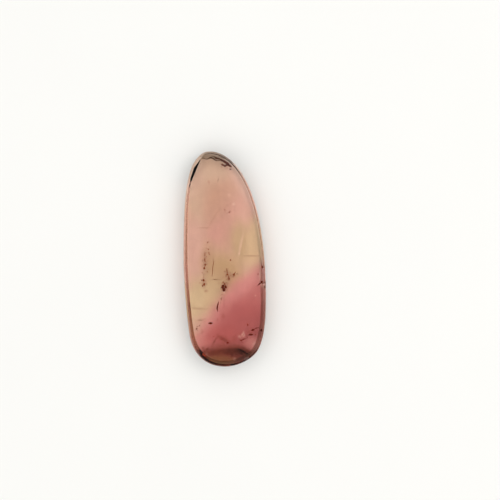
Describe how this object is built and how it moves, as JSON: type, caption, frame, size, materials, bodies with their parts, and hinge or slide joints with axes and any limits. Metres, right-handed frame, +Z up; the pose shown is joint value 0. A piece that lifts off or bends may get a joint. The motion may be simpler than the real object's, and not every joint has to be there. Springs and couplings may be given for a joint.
{
  "type": "watermelon tourmaline slice",
  "caption": "Thin polished slice of clear two-coloured tourmaline with a long rounded outline, flat on both faces, with a hand-rounded rim; rests on its underside.",
  "frame": {"origin": "middle of the underside, at the centre of the outline's width and length", "axes": "+Y along the slice towards its narrow end, +X to the right seen from above, +Z up through the slice's thickness"},
  "size_m": [0.0092, 0.024, 0.0026],
  "materials": {
    "tourmaline": "polished clear stone, deep pink to olive-tan"
  },
  "bodies": {
    "root": {"tourmaline_slice": "tourmaline"}
  },
  "joints": []
}
